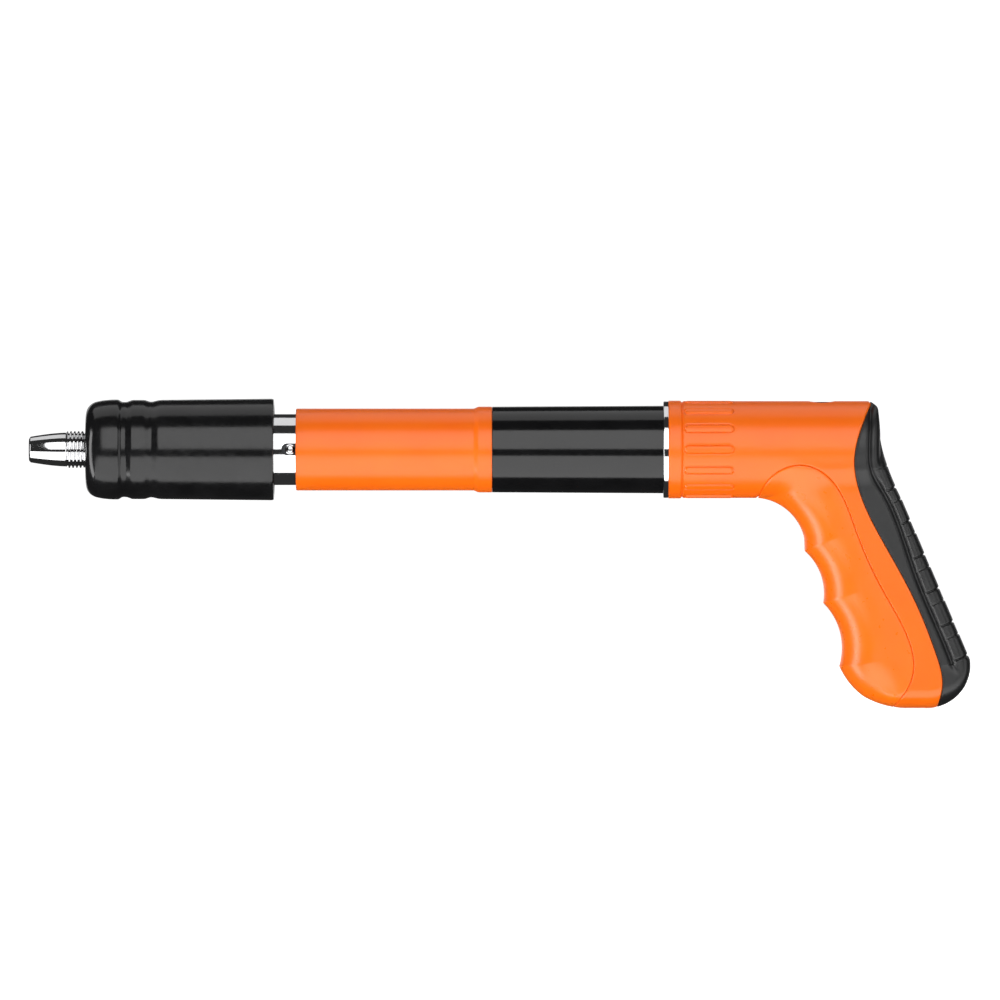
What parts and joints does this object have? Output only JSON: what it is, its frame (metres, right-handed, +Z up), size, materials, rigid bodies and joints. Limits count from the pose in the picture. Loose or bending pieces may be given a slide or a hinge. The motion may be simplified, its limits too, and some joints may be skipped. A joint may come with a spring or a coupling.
{
  "type": "powder-actuated nail gun",
  "caption": "Slim hand-held powder-actuated nail gun: steel nozzle, round muffler, sliding tube, and a leaning pistol grip with finger scallops and a rubber back strap.",
  "frame": {"origin": "centre of the nozzle's mouth, on the bore axis", "axes": "+X along the bore towards the handle, so the muzzle points to -X; +Z up, with the grip hanging down; +Y across the grip"},
  "size_m": [0.3763, 0.0408, 0.1239],
  "materials": {
    "polished_steel": "polished, lightly turned",
    "black_coat": "gloss black coating over turned steel",
    "tube_black": "deep gloss black",
    "chrome_plate": "mirror plated",
    "orange_plastic": "semi-gloss moulded",
    "orange_grip": "soft-touch moulded",
    "strap_rubber": "satin",
    "inner_steel": "machined",
    "spring_steel": "drawn wire, oiled",
    "bush_bronze": "sintered bronze",
    "seal_rubber": "matte",
    "steel_wool": "felted wire",
    "screw_black": "black oxide"
  },
  "bodies": {
    "receiver": {"housing_tube": "tube_black", "fore_sleeve": "orange_plastic", "wiper_seal": "seal_rubber", "front_bush": "bush_bronze", "rear_bush": "bush_bronze", "bumper": "seal_rubber", "end_plug": "inner_steel", "collar_ring": "chrome_plate", "handle_left": "orange_plastic", "handle_right": "orange_plastic", "finger_grip": "orange_grip", "back_strap": "strap_rubber", "handle_screws": "screw_black", "top_screw": "screw_black"},
    "slide": {"slide_tube": "chrome_plate", "front_guide": "bush_bronze", "spring_seat": "inner_steel", "press_spring": "spring_steel", "slide_plug": "inner_steel", "stop_ring": "inner_steel", "sear_pin": "inner_steel", "striker_spring": "spring_steel"},
    "barrel": {"nozzle": "polished_steel", "barrel_tube": "inner_steel", "stop_screws": "polished_steel", "breech_plug": "inner_steel", "pin_retainer": "inner_steel", "muffler_shell": "black_coat", "muffler_hub": "inner_steel", "muffler_baffles": "inner_steel", "sound_absorber": "steel_wool", "muffler_rear_bush": "inner_steel", "firing_pin_spring": "spring_steel"},
    "hammer": {"striker": "inner_steel", "cocking_pin": "inner_steel"},
    "sear_lever": {"sear": "inner_steel"},
    "pin": {"firing_pin": "inner_steel"}
  },
  "joints": [
    {"name": "slide_cock", "type": "slide", "parent": "receiver", "child": "slide", "axis": [-1, 0, 0], "range_m": [0, 0.034]},
    {"name": "barrel_press", "type": "slide", "parent": "slide", "child": "barrel", "axis": [1, 0, 0], "range_m": [0, 0.008], "stiffness_N_per_m": 3000, "springref_m": -0.01, "deforming": ["press_spring"]},
    {"name": "striker_travel", "type": "slide", "parent": "slide", "child": "hammer", "axis": [1, 0, 0], "range_m": [0, 0.033], "stiffness_N_per_m": 1200, "springref_m": -0.01, "deforming": ["striker_spring"]},
    {"name": "sear_swing", "type": "hinge", "parent": "slide", "child": "sear_lever", "pos_m": [0.202, 0, 0.01323], "axis": [0, 1, 0], "range_deg": [0, 20], "stiffness_Nm_per_rad": 0.02, "springref_deg": -11.46},
    {"name": "firing_pin_travel", "type": "slide", "parent": "barrel", "child": "pin", "axis": [-1, 0, 0], "range_m": [0, 0.003], "stiffness_N_per_m": 400, "springref_m": -0.003, "deforming": ["firing_pin_spring"]}
  ]
}
